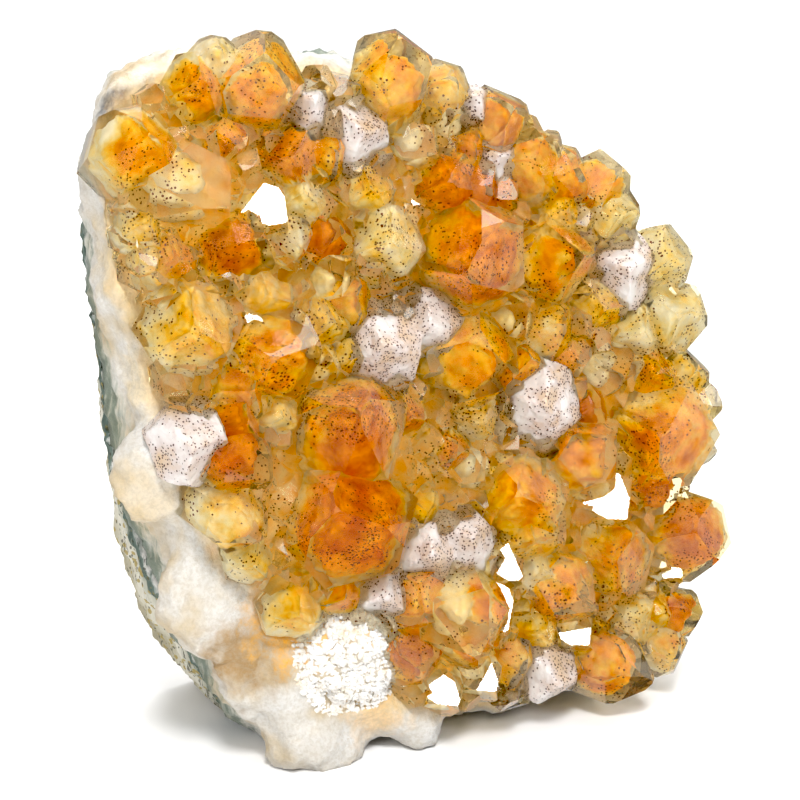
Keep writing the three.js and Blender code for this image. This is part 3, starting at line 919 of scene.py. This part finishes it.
class CITRINE_OT_points(bpy.types.Operator):
    """Grow the citrine points and the frosted ones among them"""

    bl_idname = "citrine.points"
    bl_label = "Citrine points"

    def execute(self, context):
        settings = context.scene.citrine
        crystals = []
        golden, frosted, roots = [], [], []
        for row, shell in grown_points():
            mark_seat(shell, len(crystals))
            crystals.append(Crystal(row))
            if row[6] == "frosted":
                frosted.append(shell)
                continue
            if row[2] > SMALL_LARGEST:
                roots.append(milky_root(row, shell))
            golden.append(shell)
        clear = union_of("citrine_points", golden)
        label_points(clear, crystals)
        give_finish(clear, citrine_finish(settings))
        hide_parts("citrine_crystals")
        crusted = remeshed(union_of("frosted_points", frosted), FROST_CELL)
        roughen(crusted, FROST_WAVES)
        give_finish(crusted, frosted_finish())
        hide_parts("citrine_crystals")
        cloudy = cloud_roots(union_of("milky_roots", roots), bpy.data.objects["citrine_points"], crystals)
        give_finish(cloudy, root_finish())
        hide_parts("citrine_crystals")
        return {"FINISHED"}


class CITRINE_OT_wall(bpy.types.Operator):
    """Model the milky quartz wall that carries the points"""

    bl_idname = "citrine.wall"
    bl_label = "Quartz wall"

    def execute(self, context):
        settings = context.scene.citrine
        piece = remeshed(copy_of_node("quartz_bed", "quartz_wall"), settings.wall_cell)
        under = [crust_share(vertex.co) for vertex in piece.data.vertices]
        crust = piece.data.attributes.new("crust", "FLOAT", "POINT")
        crust.data.foreach_set("value", under)
        near_rind = tree_of(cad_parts["rind"].data)
        to_rind = piece.data.attributes.new("to_rind", "FLOAT", "POINT")
        gaps = [near_rind.find_nearest(vertex.co)[3] / MM for vertex in piece.data.vertices]
        to_rind.data.foreach_set("value", gaps)
        roughen(piece, WALL_WAVES, under)
        give_finish(piece, milky_finish())
        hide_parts("quartz_bed")
        piece.data.shade_smooth()
        return {"FINISHED"}


def in_sugar(across, up, out):
    """True on the block of fine white grains."""
    return out > SUGAR_FLOOR and math.hypot(across - SUGAR_BLOCK[0], up - SUGAR_BLOCK[1]) < SUGAR_REACH


class CITRINE_OT_sugar(bpy.types.Operator):
    """Scatter fine quartz grains over the white block on the wall"""

    bl_idname = "citrine.sugar"
    bl_label = "Sugary quartz"

    def execute(self, context):
        wall = bpy.data.objects["quartz_wall"].data
        draw = stream(SUGAR_SEED)
        grains = bmesh.new()
        made = 0
        while made < SUGAR_COUNT:
            face = wall.polygons[int(next(draw) * len(wall.polygons))]
            if face.center.z < SUGAR_LOWEST * MM or not in_sugar(*to_face(face.center)):
                continue
            size = (SUGAR_SIZE[0] + SUGAR_SIZE[1] * next(draw) ** 2) * MM
            normal = face.normal + Vector([next(draw) - 0.5 for _ in range(3)]) * SUGAR_TIP
            turn = normal.to_track_quat("Z", "Y").to_matrix().to_4x4()
            spin = Matrix.Rotation(next(draw) * math.pi, 4, "Z")
            place = Matrix.Translation(face.center) @ turn @ spin
            bmesh.ops.create_cone(
                grains,
                cap_ends=True,
                segments=6 if made % 3 else 4,
                radius1=size,
                radius2=size * SUGAR_BLUNT * next(draw),
                depth=SUGAR_LENGTH * size,
                matrix=place,
            )
            made += 1
        mesh = bpy.data.meshes.new("sugar_quartz")
        grains.to_mesh(mesh)
        grains.free()
        piece = as_object("sugar_quartz", mesh)
        give_finish(piece, sugar_finish())
        return {"FINISHED"}


class CITRINE_OT_rind(bpy.types.Operator):
    """Model the rough outer rind"""

    bl_idname = "citrine.rind"
    bl_label = "Rind"

    def execute(self, context):
        settings = context.scene.citrine
        near_bed = tree_of(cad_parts["quartz_bed"].data)
        piece = remeshed(copy_of_node("rind", "outer_rind"), settings.wall_cell)
        inside = piece.data.attributes.new("inside", "FLOAT", "POINT")
        for vertex in piece.data.vertices:
            inside.data[vertex.index].value = near_bed.find_nearest(vertex.co)[3] / MM
        roughen(piece, RIND_WAVES)
        give_finish(piece, rind_finish())
        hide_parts("rind")
        piece.data.shade_smooth()
        return {"FINISHED"}


# The camera of the photo: its direction, its lens, and the middle of its view in the part's frame.
CAMERA_AZIMUTH = math.radians(-28)
CAMERA_ELEVATION = math.radians(20)
CAMERA_LENS = 120.0
CAMERA_SENSOR = 36.0
CAMERA_VIEW = 800 / 6.5 * MM
CAMERA_TARGET = Vector((-2.8, -2.1, 52.0)) * MM
CAMERA_NEAR = 0.01

# The studio is dim in front of the piece and bright behind it. The mirrored values are what shiny faces show.
DARK_SIDE = (-0.44, -0.83, 0.2)
DARK_SIDE_REACH = (-0.5, 0.6)
DARK_SIDE_STRENGTH = 0.22
LIGHT_SIDE_STRENGTH = 1.5
MIRRORED_RISE = (-0.45, 0.1)
MIRRORED_FLOOR = 0.5
MIRRORED_WALLS = 0.15
MIRRORED_WINDOW = 0.55
WINDOW_SCALE = 1.7
WINDOW_EDGE = (0.56, 0.62)
BACKDROP_STRENGTH = 1.2
FILM_BLACK = 0.046
LIGHT_BOUNCES = 7
DIFFUSE_BOUNCES = 3
GLOSSY_BOUNCES = 2
FLOOR_HALF = 3

# The soft boxes: name, place and size in metres, power in watts. They look at a point low in the piece.
LAMP_AIM = Vector((0, 0, 0.05))
SOFT_BOXES = (
    ("overhead", (0.1, 0.02, 0.62), 0.42, 2.8),
    ("front", (-0.16, -0.38, 0.56), 0.14, 3.4),
    ("low_left", (-0.5, -0.3, 0.3), 0.1, 0.8),
    ("right", (0.22, -0.5, 0.4), 0.1, 0.8),
)


def paper_floor():
    """The pale paper that the piece stands on, which mirrors don't show."""
    body = bmesh.new()
    bmesh.ops.create_grid(body, x_segments=1, y_segments=1, size=FLOOR_HALF)
    mesh = bpy.data.meshes.new("floor")
    body.to_mesh(mesh)
    body.free()
    floor = as_object("floor", mesh)
    paper = Finish("floor_paper")
    shade = paper.ramp(paper.noise(0.002, 2), [(0.0, colour(247, 247, 247)), (1.0, colour(250, 250, 250))])
    paper.set(Base_Color=shade, Roughness=0.9)
    mesh.materials.append(paper.material)
    floor.visible_glossy = False
    return floor


def between(tree, value, source, target, smooth=False):
    """A node of the air that carries value from one range of numbers to another."""
    made = tree.nodes.new("ShaderNodeMapRange")
    made.interpolation_type = "SMOOTHSTEP" if smooth else "LINEAR"
    tree.links.new(value, made.inputs["Value"])
    made.inputs["From Min"].default_value, made.inputs["From Max"].default_value = source
    made.inputs["To Min"].default_value, made.inputs["To Max"].default_value = target
    return made.outputs["Result"]


def either(tree, test, usual, special):
    """A node of the air that gives special, a number or a socket, where the test is 1."""
    made = tree.nodes.new("ShaderNodeMix")
    tree.links.new(test, made.inputs["Factor"])
    tree.links.new(usual, made.inputs["A"])
    if isinstance(special, bpy.types.NodeSocket):
        tree.links.new(special, made.inputs["B"])
    else:
        made.inputs["B"].default_value = special
    return made.outputs["Result"]


def studio_air():
    """The light from all round: brighter behind the piece, with windows that only mirrors show."""
    air = bpy.data.worlds.new("studio")
    air.use_nodes = True
    tree = air.node_tree
    way = tree.nodes.new("ShaderNodeTexCoord").outputs["Generated"]
    forward = tree.nodes.new("ShaderNodeVectorMath")
    forward.operation = "DOT_PRODUCT"
    forward.inputs[1].default_value = DARK_SIDE
    tree.links.new(way, forward.inputs[0])
    strengths = (LIGHT_SIDE_STRENGTH, DARK_SIDE_STRENGTH)
    strength = between(tree, forward.outputs["Value"], DARK_SIDE_REACH, strengths, smooth=True)
    height = tree.nodes.new("ShaderNodeSeparateXYZ")
    tree.links.new(way, height.inputs[0])
    mirrored = between(tree, height.outputs["Z"], MIRRORED_RISE, (MIRRORED_FLOOR, MIRRORED_WALLS))
    patches = tree.nodes.new("ShaderNodeTexNoise")
    tree.links.new(way, patches.inputs["Vector"])
    patches.inputs["Scale"].default_value = WINDOW_SCALE
    patches.inputs["Detail"].default_value = 0.0
    window = between(tree, patches.outputs[0], WINDOW_EDGE, (0, MIRRORED_WINDOW))
    lit = tree.nodes.new("ShaderNodeMath")
    tree.links.new(mirrored, lit.inputs[0])
    tree.links.new(window, lit.inputs[1])
    path = tree.nodes.new("ShaderNodeLightPath")
    seen = either(tree, path.outputs["Is Glossy Ray"], strength, lit.outputs[0])
    seen = either(tree, path.outputs["Is Camera Ray"], seen, BACKDROP_STRENGTH)
    background = tree.nodes["Background"]
    background.inputs["Color"].default_value = (1, 1, 1, 1)
    tree.links.new(seen, background.inputs["Strength"])
    return air


def soft_box(name, place, size, power):
    """A square lamp that looks at the piece."""
    data = bpy.data.lights.new(name, "AREA")
    data.size = size
    data.energy = power
    lamp = bpy.data.objects.new(name, data)
    lamp.location = place
    lamp.rotation_euler = (LAMP_AIM - Vector(place)).to_track_quat("-Z", "Y").to_euler()
    return lamp


def photo_camera():
    """The camera at the photo's angle."""
    data = bpy.data.cameras.new("camera")
    data.lens = CAMERA_LENS
    data.sensor_width = CAMERA_SENSOR
    data.clip_start = CAMERA_NEAR
    camera = bpy.data.objects.new("camera", data)
    back = Vector(
        (
            math.sin(CAMERA_AZIMUTH) * math.cos(CAMERA_ELEVATION),
            -math.cos(CAMERA_AZIMUTH) * math.cos(CAMERA_ELEVATION),
            math.sin(CAMERA_ELEVATION),
        )
    )
    camera.location = CAMERA_TARGET + back * CAMERA_VIEW * CAMERA_LENS / CAMERA_SENSOR
    camera.rotation_euler = (-back).to_track_quat("-Z", "Y").to_euler()
    return camera


class CITRINE_OT_stage(bpy.types.Operator):
    """Set the floor, the soft boxes and the camera"""

    bl_idname = "citrine.stage"
    bl_label = "Stage"

    def execute(self, context):
        scene = context.scene
        paper_floor()
        scene.world = studio_air()
        for name, place, size, power in SOFT_BOXES:
            scene.collection.objects.link(soft_box(name, place, size, power))
        scene.camera = photo_camera()
        scene.collection.objects.link(scene.camera)
        scene.cycles.max_bounces = LIGHT_BOUNCES
        scene.cycles.transmission_bounces = LIGHT_BOUNCES
        scene.cycles.diffuse_bounces = DIFFUSE_BOUNCES
        scene.cycles.glossy_bounces = GLOSSY_BOUNCES
        scene.view_settings.view_transform = "Standard"
        scene.view_settings.use_curve_mapping = True
        response = scene.view_settings.curve_mapping
        response.black_level = (FILM_BLACK,) * 3
        response.update()
        return {"FINISHED"}


class CITRINE_PT_panel(bpy.types.Panel):
    """The parts of the cluster, in the order in which they are made"""

    bl_idname = "CITRINE_PT_panel"
    bl_label = "Citrine cluster"
    bl_space_type = "VIEW_3D"
    bl_region_type = "UI"
    bl_category = "Citrine"

    def draw(self, context):
        for name in CitrineSettings.__annotations__:
            self.layout.prop(context.scene.citrine, name)
        for operator in STEPS:
            self.layout.operator(operator.bl_idname)


STEPS = (CITRINE_OT_stage, CITRINE_OT_points, CITRINE_OT_wall, CITRINE_OT_sugar, CITRINE_OT_rind)
CLASSES = (CitrineSettings, *STEPS, CITRINE_PT_panel)


def register():
    for item in CLASSES:
        bpy.utils.register_class(item)
    bpy.types.Scene.citrine = bpy.props.PointerProperty(type=CitrineSettings)


def unregister():
    del bpy.types.Scene.citrine
    for item in reversed(CLASSES):
        bpy.utils.unregister_class(item)


def main():
    register()
    bpy.ops.citrine.stage()
    bpy.ops.citrine.points()
    bpy.ops.citrine.wall()
    bpy.ops.citrine.sugar()
    bpy.ops.citrine.rind()


if __name__ == "__main__":
    main()
